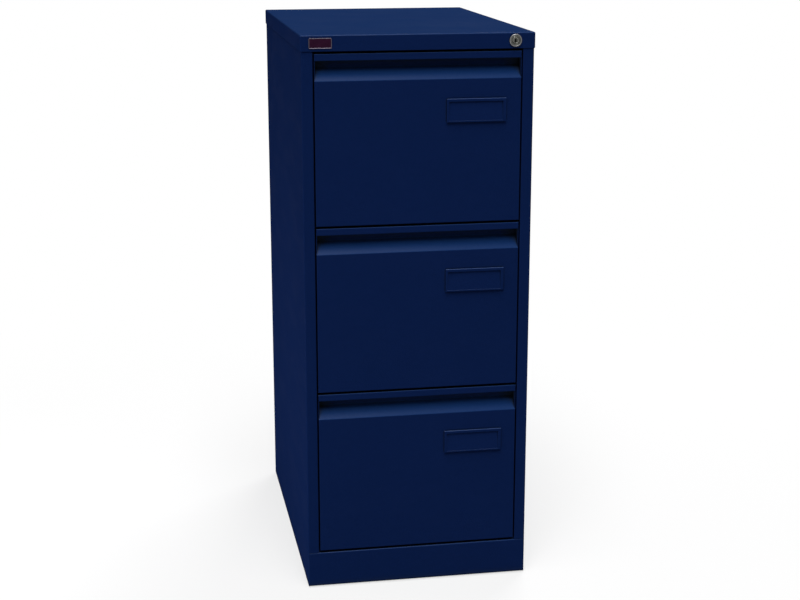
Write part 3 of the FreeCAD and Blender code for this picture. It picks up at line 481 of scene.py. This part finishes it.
def enamelled_badge(name, low, high, rim):
    """Bare badge plate: glossy dark plum enamel inside a brushed metal rim."""
    blur = 0.0001
    finish, tree, shader = new_finish(name)
    spot = split(tree, place_on_piece(tree))
    sides = []
    for axis, start, end in (("X", low[0], high[0]), ("Z", low[2], high[2])):
        for mark, inward in ((start + rim, 1.0), (end - rim, -1.0)):
            depth = times(tree, minus(tree, spot[axis], mark), inward)
            sides.append(ramp(tree, depth, low=-blur, high=blur))
    inside = times(tree, *sides)
    shade = use(tree, "mottle", Size=0.012, Contrast=2.2)
    smear = use(tree, "smears", Size=0.008)
    brushed = grain(tree, size=0.0003, detail=3.0, stretch=(40.0, 1.0, 1.0))
    enamel = tint(tree, shade, ENAMEL_DEEP, ENAMEL_THIN)
    metal = tint(tree, ramp(tree, brushed, low=0.3, high=0.7), BADGE_RIM_DARK, BADGE_RIM_BRIGHT)
    smear_dulls = 0.08
    dull = ramp(tree, inside, low=0.0, high=1.0, start=0.30, end=0.24)
    dull = plus(tree, dull, times(tree, smear, smear_dulls))
    feed_named(tree, shader, Base_Color=tint(tree, inside, metal, enamel), Roughness=dull)
    feed_named(tree, shader, Metallic=minus(tree, 1.0, inside), Specular_IOR_Level=0.03)
    raise_surface(tree, shader, brushed, depth=0.00002, strength=0.4)
    return finish


LOCK_RIM_WIDTH = 0.0023
BADGE_RIM_WIDTH = 0.0013

plug_low, plug_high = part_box("lock_plug")
lock_centre = tuple((a + b) / 2 for a, b in zip(plug_low, plug_high))
housing_low, housing_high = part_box("lock_housing")
lock_rim = (housing_high[0] - housing_low[0]) / 2 - LOCK_RIM_WIDTH
badge_low, badge_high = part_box("badge_plate")
front_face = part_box("drawer_front_1")[0][1]

finishes = {
    "navy_paint": navy_powder_coat("navy_powder_coat", painted_highlight=0.8, polish=0.14, sheen=0.006, painted_shade=0.6),
    "zinc_steel": zinc_plate("bright_zinc"),
    "nickel": satin_nickel("satin_nickel", lock_centre, lock_rim),
    "ball_steel": polished_steel("polished_ball_steel"),
    "dark_plastic": moulded_plastic("black_glide_plastic", GLIDE_BLACK, GLIDE_BLACK_PALER, dull=0.50),
    "pale_plastic": moulded_plastic("natural_guide_plastic", GUIDE_NATURAL, GUIDE_NATURAL_PALER, dull=0.42),
    "badge": enamelled_badge("plum_enamel_badge", badge_low, badge_high, BADGE_RIM_WIDTH),
}
front_coat = navy_powder_coat(
    "navy_powder_coat_fronts", painted_highlight=0.9, polish=0.036, sheen=0.010, painted_shade=1.0, pull_edge=front_face
)
holder_coat = navy_powder_coat(
    "navy_powder_coat_holders", painted_highlight=1.0, polish=0.36, sheen=0.010, painted_shade=0.5
)
tray_coat = navy_powder_coat(
    "navy_powder_coat_trays", painted_highlight=0.5, polish=0.05, sheen=0.012, painted_shade=0.5, scuffs=0.5
)
own_coats = {
    "drawer_front": front_coat,
    "label_holder": holder_coat,
    "drawer_tray": tray_coat,
    "drawer_back": tray_coat,
}
for part in frame["record"]["subparts"]:
    node = frame["nodes"][part["node"]]
    finish = finishes[part["material_slot"]]
    for start, coat in own_coats.items():
        if part["node"].startswith(start):
            finish = coat
    node.data.materials.clear()
    node.data.materials.append(finish)


# Pieces made in mesh code

def circle(count):
    """Points of a circle of radius 1."""
    turns = (2.0 * math.pi * i / count for i in range(count))
    return [(math.cos(t), math.sin(t)) for t in turns]


def ring(bm, centre, axis, radius, along, count):
    """Points of a circle about the axis, or the one point on it."""
    side = axis.orthogonal().normalized()
    up = axis.cross(side)
    middle = centre + axis * along
    if radius == 0.0:
        return [bm.verts.new(middle)]
    return [bm.verts.new(middle + side * (radius * c) + up * (radius * s)) for c, s in circle(count)]


def join_rings(bm, near, far):
    """Faces between two rings of points, either of which may be a single point."""
    count = max(len(near), len(far))
    for i in range(count):
        j = (i + 1) % count
        corners = [near[i % len(near)], near[j % len(near)], far[j % len(far)], far[i % len(far)]]
        bm.faces.new(list(dict.fromkeys(corners)))


def join_all(bm, rings):
    for near, far in zip(rings, rings[1:]):
        join_rings(bm, near, far)


def turn(bm, centre, axis, profile, count, closed=False):
    """A turned form: profile gives radius and distance along the axis, in millimetres."""
    rings = [ring(bm, centre, axis, r / MM_PER_M, along / MM_PER_M, count) for r, along in profile]
    join_all(bm, rings)
    if closed:
        join_rings(bm, rings[-1], rings[0])


def face_centre(low, high, y):
    """Middle of a box from side to side and from top to bottom, at the given Y."""
    return Vector(((low[0] + high[0]) / 2, y, (low[2] + high[2]) / 2))


def finish_piece(name, bm, body, slot, sharp, stands_for=None):
    """A piece with its slot's finish, on its body, in place of the node that it stands for.

    Edges where the surface turns by more than sharp degrees stay crisp.
    """
    bmesh.ops.recalc_face_normals(bm, faces=bm.faces)
    mesh = bpy.data.meshes.new(name)
    bm.to_mesh(mesh)
    bm.free()
    mesh.shade_smooth()
    mesh.set_sharp_from_angle(angle=math.radians(sharp))
    mesh.materials.append(finishes[slot])
    piece = bpy.data.objects.new(name, mesh)
    bpy.context.collection.objects.link(piece)
    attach(piece, body)
    if stands_for:
        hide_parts(stands_for)


LOCK_POINTS = 96
TO_THE_BACK = Vector((0.0, 1.0, 0.0))


def lock_bezel():
    """Turned lock housing: a rounded rim round a dished face, a bead about the core, a barrel behind."""
    low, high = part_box("lock_housing")
    flange = (high[0] - low[0]) / 2 * MM_PER_M
    deep = (high[1] - low[1]) * MM_PER_M
    bore = 6.05
    barrel = 8.5
    seat = 2.5
    # Radius, and distance behind the crest of the rim
    behind = [(bore, deep), (barrel - 0.6, deep), (barrel, deep - 0.6), (barrel, seat)]
    rim = [
        (flange - 0.15, seat), (flange, seat - 0.15), (flange, 1.35), (flange - 0.10, 0.85),
        (flange - 0.36, 0.42), (flange - 0.75, 0.13), (flange - 1.2, 0.0), (flange - 1.6, 0.08),
        (flange - 1.95, 0.32), (flange - 2.15, 0.68), (flange - 2.25, 0.95), (flange - 2.6, 1.05),
    ]
    bead = [
        (7.6, 0.90), (7.3, 0.78), (7.0, 0.55), (6.75, 0.45),
        (6.5, 0.50), (6.3, 0.66), (6.15, 0.9), (bore, 1.2),
    ]
    bm = bmesh.new()
    turn(bm, face_centre(low, high, low[1]), TO_THE_BACK, behind + rim + bead, LOCK_POINTS, closed=True)
    finish_piece("lock_housing_turned", bm, "carcass", "nickel", sharp=40.0, stands_for="lock_housing")


def round_outline(radius):
    return [(radius * c, radius * s) for c, s in circle(LOCK_POINTS)]


def square_outline(half):
    """A square whose sides are twice half, with a point on it for each point of the round."""
    outline = []
    for c, s in circle(LOCK_POINTS):
        longer = max(abs(c), abs(s))
        outline.append((half * c / longer, half * s / longer))
    return outline


def keyway_outline(half_width, half_height):
    """An upright slot with round ends, with a point on it for each point of the round."""
    end = half_height - half_width
    least = 1e-6
    outline = []
    for c, s in circle(LOCK_POINTS):
        reach = half_width / max(abs(c), least)
        if reach * abs(s) > end:
            reach = abs(s) * end + math.sqrt(max(half_width ** 2 - (c * end) ** 2, 0.0))
        outline.append((reach * c, reach * s))
    return outline


def lock_core():
    """Turning core of the lock: groove and flared keyway in its face, square tang and screw hole behind."""
    low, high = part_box("lock_plug")
    radius = (high[0] - low[0]) / 2 * MM_PER_M
    deep = (high[1] - low[1]) * MM_PER_M
    centre = face_centre(low, high, low[1])
    shoulder = deep - 2.0
    hole_end = deep - 8.0
    keyway_end = 9.4
    on_axis = [(0.0, 0.0)]
    # Outline, and distance behind the face
    screw_hole = [
        (on_axis, hole_end), (round_outline(1.7), hole_end), (round_outline(1.7), deep - 0.3),
        (round_outline(2.0), deep),
    ]
    tang = [
        (square_outline(2.85), deep), (square_outline(3.0), deep - 0.15), (square_outline(3.0), shoulder),
    ]
    drum = [
        (round_outline(radius - 0.25), shoulder), (round_outline(radius), shoulder - 0.25),
        (round_outline(radius), 0.45), (round_outline(radius - 0.13), 0.14),
        (round_outline(radius - 0.4), 0.0),
    ]
    groove = [
        (round_outline(radius - 1.0), 0.0), (round_outline(radius - 1.08), 0.14),
        (round_outline(radius - 1.22), 0.2), (round_outline(radius - 1.36), 0.14),
        (round_outline(radius - 1.44), 0.0),
    ]
    keyway = [
        (keyway_outline(2.3, 4.0), 0.0), (keyway_outline(2.05, 3.85), 0.1),
        (keyway_outline(1.55, 3.65), 0.5), (keyway_outline(1.15, 3.55), 0.8),
        (keyway_outline(1.0, 3.5), 1.2), (keyway_outline(1.0, 3.5), keyway_end), (on_axis, keyway_end),
    ]
    bm = bmesh.new()
    rings = []
    for outline, along in screw_hole + tang + drum + groove + keyway:
        rings.append([bm.verts.new(centre + Vector((x, along, z)) / MM_PER_M) for x, z in outline])
    join_all(bm, rings)
    finish_piece("lock_core_faced", bm, "lock_cylinder", "nickel", sharp=40.0, stands_for="lock_plug")


def badge_outline(width, height, corner, inset):
    """Outline of the badge, drawn in by inset, with the same count of points for any inset."""
    least_corner = 0.25
    steps = 8
    w = width / 2 - inset
    h = height / 2 - inset
    r = max(corner - inset, least_corner)
    outline = []
    for sx, sz, start in ((1, 1, 0), (-1, 1, 90), (-1, -1, 180), (1, -1, 270)):
        for step in range(steps + 1):
            t = math.radians(start + 90.0 * step / steps)
            outline.append((sx * (w - r) + r * math.cos(t), sz * (h - r) + r * math.sin(t)))
    return outline


def domed_badge():
    """Badge plate with a rounded rim round a slightly domed enamel field."""
    low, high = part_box("badge_plate")
    width, height, thick = ((high[i] - low[i]) * MM_PER_M for i in (0, 2, 1))
    middle = face_centre(low, high, high[1])
    corner = 2.0
    # Inset from the outline, and height above the plate's back, from the back's edge to the field's middle
    section = [
        (0.0, 0.0), (0.0, thick - 0.45), (0.08, thick - 0.22), (0.25, thick - 0.06), (0.5, thick),
        (0.78, thick - 0.06), (0.98, thick - 0.2), (1.12, thick - 0.36), (1.3, thick - 0.40),
        (2.2, thick - 0.33), (3.6, thick - 0.26), (5.6, thick - 0.2), (7.6, thick - 0.17),
    ]
    bm = bmesh.new()
    loops = []
    for inset, rise in section:
        outline = badge_outline(width, height, corner, inset)
        loops.append([bm.verts.new(middle + Vector((x, -rise, z)) / MM_PER_M) for x, z in outline])
    join_all(bm, loops)
    bm.faces.new(loops[0])
    bm.faces.new(loops[-1])
    finish_piece("badge_plate_domed", bm, "carcass", "badge", sharp=40.0, stands_for="badge_plate")


def channel_section(span, low, high, sheet, bend):
    """Section of a rolled channel: distance from the back of its web, and level.

    It goes from the web's back over the upper flange to the web's front, and back by the lower flange.
    """
    steps = 5
    arc = [math.radians(90.0 * step / steps) for step in range(steps + 1)]
    inside = bend - sheet
    upper = [(bend - bend * math.cos(t), high - bend + bend * math.sin(t)) for t in arc]
    upper += [(span, high), (span, high - sheet)]
    upper += [(bend - inside * math.cos(t), high - bend + inside * math.sin(t)) for t in reversed(arc)]
    return upper + [(away, low + high - level) for away, level in reversed(upper)]


def slot_outline(middle, level, length, height):
    """Points round a slot with round ends, along the slide and up."""
    steps = 10
    radius = height / 2
    reach = (length - height) / 2
    turns = [math.radians(-90.0 + 180.0 * step / steps) for step in range(steps + 1)]
    outline = []
    for end in (1, -1):
        for t in turns:
            run = middle + end * (reach + radius * math.cos(t))
            outline.append((run, level + end * radius * math.sin(t)))
    return outline


def rolled_channel(bm, section, front, rear, slots):
    """Channel run from front to rear, with slots through its web. The section gives X and level."""
    ends = [[bm.verts.new((x, run, level)) for x, level in section] for run in (front, rear)]
    count = len(section)
    web_front = count // 2 - 1
    web_back = count - 1
    sides = []
    for i in range(count):
        j = (i + 1) % count
        sides.append([ends[0][i], ends[0][j], ends[1][j], ends[1][i]])
    for end in ends:
        bm.faces.new(end)
    for i, side in enumerate(sides):
        if i not in (web_front, web_back):
            bm.faces.new(side)
    web_loops = {web_front: [], web_back: []}
    for outline in slots:
        rims = {i: [bm.verts.new((section[i][0], run, level)) for run, level in outline] for i in web_loops}
        join_rings(bm, rims[web_front], rims[web_back])
        for i, rim in rims.items():
            web_loops[i].append(rim)
    for i, loops in web_loops.items():
        loops.append(sides[i])
        edges = [bm.edges.get((a, b)) for loop in loops for a, b in zip(loop, loop[1:] + loop[:1])]
        bmesh.ops.triangle_fill(bm, use_beauty=True, edges=edges)


def depths_from_middle(node):
    """How far from the cabinet's middle the faces of a pair of slide members lie, nearest first."""
    return sorted({round(abs(v.co.x), 5) for v in frame["nodes"][node].data.vertices})


BOTH_SIDES = (-1.0, 1.0)
BEND_IN_SHEETS = 1.6
# Slots in the slides' webs: run of the middle from the member's front end, length and height
MIDDLE_SLOTS = [(run, 0.026, 0.010) for run in (0.060, 0.1675, 0.275, 0.3825, 0.490)]
INNER_SLOTS = [(run, 0.016, 0.006) for run in (0.090, 0.235, 0.300, 0.425, 0.465)]


def slide_members(kind, number, body, web_inside, slots):
    """Left and right members of a pair of slides, rolled from strip, with slots in their webs."""
    node = f"slide_{kind}_{number}"
    low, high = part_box(node)
    depths = depths_from_middle(node)
    if not web_inside:
        depths.reverse()
    back = depths[0]
    outward = 1.0 if web_inside else -1.0
    sheet = abs(depths[1] - back)
    span = abs(depths[2] - back)
    middle = (low[2] + high[2]) / 2
    section = channel_section(span, low[2], high[2], sheet, BEND_IN_SHEETS * sheet)
    outlines = [slot_outline(low[1] + run, middle, length, height) for run, length, height in slots]
    bm = bmesh.new()
    for side in BOTH_SIDES:
        placed = [(side * (back + outward * away), level) for away, level in section]
        rolled_channel(bm, placed, low[1], high[1], outlines)
    finish_piece(f"{node}_rolled", bm, body, "zinc_steel", sharp=5.0, stands_for=node)


RIVET_POINTS = 24
# Runs of the rivets from the front end of the slide's inner member
RIVET_RUNS = (0.045, 0.190, 0.345, 0.505)
TRAY_SHEET = 0.0009


def slide_rivets(number):
    """Rivets that hold the drawer's slide members to its tray: domes outside, set ends inside."""
    node = f"slide_inner_{number}"
    tray_side, web_face = depths_from_middle(node)[:2]
    low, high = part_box(node)
    level = (low[2] + high[2]) / 2
    dome = [
        (0.0, 0.0), (3.6, 0.0), (3.6, 0.2), (3.45, 0.55), (3.0, 0.95), (2.3, 1.25), (1.5, 1.4), (1.2, 1.38),
        (1.05, 1.1), (0.8, 1.0), (0.0, 0.95),
    ]
    set_end = [
        (0.0, 0.0), (3.0, 0.0), (3.05, 0.5), (2.85, 0.95), (2.3, 1.15), (1.3, 1.2), (1.0, 0.9), (0.0, 0.85),
    ]
    bm = bmesh.new()
    for side in BOTH_SIDES:
        out = Vector((side, 0.0, 0.0))
        for run in RIVET_RUNS:
            outer = Vector((side * web_face, low[1] + run, level))
            inner = Vector((side * (tray_side - TRAY_SHEET), low[1] + run, level))
            turn(bm, outer, out, dome, RIVET_POINTS)
            turn(bm, inner, -out, set_end, RIVET_POINTS)
    finish_piece(f"slide_rivets_{number}", bm, f"drawer_{number}", "zinc_steel", sharp=50.0)


WELD_POINTS = 32
WELD_ROWS = 8
LOWEST_WELD = 0.055
WELD_PITCH = 0.127
WELD_FROM_SIDE = 0.011


def weld_marks():
    """Rings that spot welds leave down the rear flanges, where these hold the back panel."""
    left_low, left_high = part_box("side_panel_left")
    right_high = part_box("side_panel_right")[1]
    rear = left_high[1]
    mark = [
        (0.0, 0.0), (3.5, 0.0), (3.35, 0.18), (3.0, 0.30),
        (2.6, 0.22), (2.2, 0.08), (1.0, 0.03), (0.0, 0.03),
    ]
    bm = bmesh.new()
    for x in (left_low[0] + WELD_FROM_SIDE, right_high[0] - WELD_FROM_SIDE):
        for row in range(WELD_ROWS):
            level = LOWEST_WELD + WELD_PITCH * row
            turn(bm, Vector((x, rear, level)), TO_THE_BACK, mark, WELD_POINTS)
    finish_piece("back_weld_marks", bm, "carcass", "navy_paint", sharp=60.0)


DRAWER_NUMBERS = (1, 2, 3)

lock_bezel()
lock_core()
domed_badge()
for number in DRAWER_NUMBERS:
    slide_members("middle", number, f"middle_members_{number}", web_inside=False, slots=MIDDLE_SLOTS)
    slide_members("inner", number, f"drawer_{number}", web_inside=True, slots=INNER_SLOTS)
    slide_rivets(number)
weld_marks()


# Studio: pale floor, soft lamps, camera

FLOOR_REACH = 30.0
WHITE = (1.0, 1.0, 1.0, 1.0)
FLOOR_BOUNCE = (0.35, 0.35, 0.35, 1.0)
FLOOR_SHADED = (0.80, 0.80, 0.80, 1.0)


def sees_background(tree):
    """1 for rays that show the background: from the camera, off gloss, and through glass."""
    path = add(tree, "ShaderNodeLightPath").outputs
    seen = maths(tree, "MAXIMUM", path["Is Camera Ray"], path["Is Glossy Ray"])
    return maths(tree, "MAXIMUM", seen, path["Is Transmission Ray"])


def mix_shaders(tree, share, under, over):
    """Shader under where share is 0, shader over where it is 1."""
    node = add(tree, "ShaderNodeMixShader", Fac=share)
    feed(tree, node.inputs[1], under.outputs[0])
    feed(tree, node.inputs[2], over.outputs[0])
    return node


def pale_floor():
    """White floor that takes some shade near the cabinet, and throws little light back at it."""
    mesh = bpy.data.meshes.new("studio_floor")
    corners = [(FLOOR_REACH * x, FLOOR_REACH * y, 0.0) for x, y in ((-1, -1), (1, -1), (1, 1), (-1, 1))]
    mesh.from_pydata(corners, [], [(0, 1, 2, 3)])
    floor = bpy.data.objects.new("studio_floor", mesh)
    bpy.context.collection.objects.link(floor)
    finish = bpy.data.materials.new("pale_floor")
    finish.use_nodes = True
    tree = finish.node_tree
    tree.nodes.clear()
    output = tree.nodes.new("ShaderNodeOutputMaterial")
    bounce = add(tree, "ShaderNodeBsdfDiffuse", Color=FLOOR_BOUNCE)
    shaded = add(tree, "ShaderNodeBsdfDiffuse", Color=FLOOR_SHADED)
    white = add(tree, "ShaderNodeEmission", Color=WHITE, Strength=1.0)
    away = vector_maths(tree, "LENGTH", place_on_piece(tree), output="Value")
    near_cabinet = ramp(tree, away, low=0.5, high=1.8, start=0.36, end=0.0)
    shown = mix_shaders(tree, near_cabinet, white, shaded)
    both = mix_shaders(tree, sees_background(tree), bounce, shown)
    feed_named(tree, output, Surface=both.outputs[0])
    mesh.materials.append(finish)


def studio_air(level):
    """White all round for rays that show the background, and level of it as light."""
    world = bpy.data.worlds.new("studio_air")
    world.use_nodes = True
    tree = world.node_tree
    tree.nodes.clear()
    output = tree.nodes.new("ShaderNodeOutputWorld")
    strength = ramp(tree, sees_background(tree), low=0.0, high=1.0, start=level, end=1.0)
    air = add(tree, "ShaderNodeBackground", Color=WHITE, Strength=strength)
    feed_named(tree, output, Surface=air.outputs[0])
    bpy.context.scene.world = world


def from_side(azimuth, elevation):
    """Direction out from the object: azimuth 0 is in front, positive to the right."""
    a = math.radians(azimuth)
    e = math.radians(elevation)
    return Vector((math.sin(a) * math.cos(e), -math.cos(a) * math.cos(e), math.sin(e)))


def set_up(name, fitting, aim, out, distance):
    """A lamp or camera that stands distance out from the aim and looks at it."""
    stand = bpy.data.objects.new(name, fitting)
    stand.location = aim + out * distance
    stand.rotation_euler = (-out).to_track_quat("-Z", "Y").to_euler()
    bpy.context.collection.objects.link(stand)
    return stand


def soft_lamp(name, azimuth, elevation, distance, size, watts):
    lamp = bpy.data.lights.new(name, "AREA")
    lamp.shape = "RECTANGLE"
    lamp.size, lamp.size_y = size
    lamp.energy = watts
    cabinet_middle = Vector((0.0, 0.0, 0.5))
    set_up(name, lamp, cabinet_middle, from_side(azimuth, elevation), distance)


def photo_camera(azimuth, elevation, distance, aim, lens):
    camera = bpy.data.cameras.new("photo_camera")
    camera.sensor_width = 36.0
    camera.lens = lens
    camera.clip_end = 100.0
    stand = set_up("photo_camera", camera, Vector(aim), from_side(azimuth, elevation), distance)
    bpy.context.scene.camera = stand


pale_floor()
studio_air(level=0.10)
soft_lamp("key_softbox", azimuth=-12.0, elevation=66.0, distance=12.0, size=(6.0, 9.0), watts=1570.0)
soft_lamp("left_fill", azimuth=-82.0, elevation=-15.5, distance=1.4, size=(1.4, 0.2), watts=7.8)
soft_lamp("back_fill", azimuth=150.0, elevation=35.0, distance=6.0, size=(3.2, 2.4), watts=190.0)
photo_camera(azimuth=-10.09, elevation=14.392, distance=3.1746, aim=(0.0216, 0.0, 0.46344), lens=71.61)
bpy.context.scene.view_settings.view_transform = "Standard"
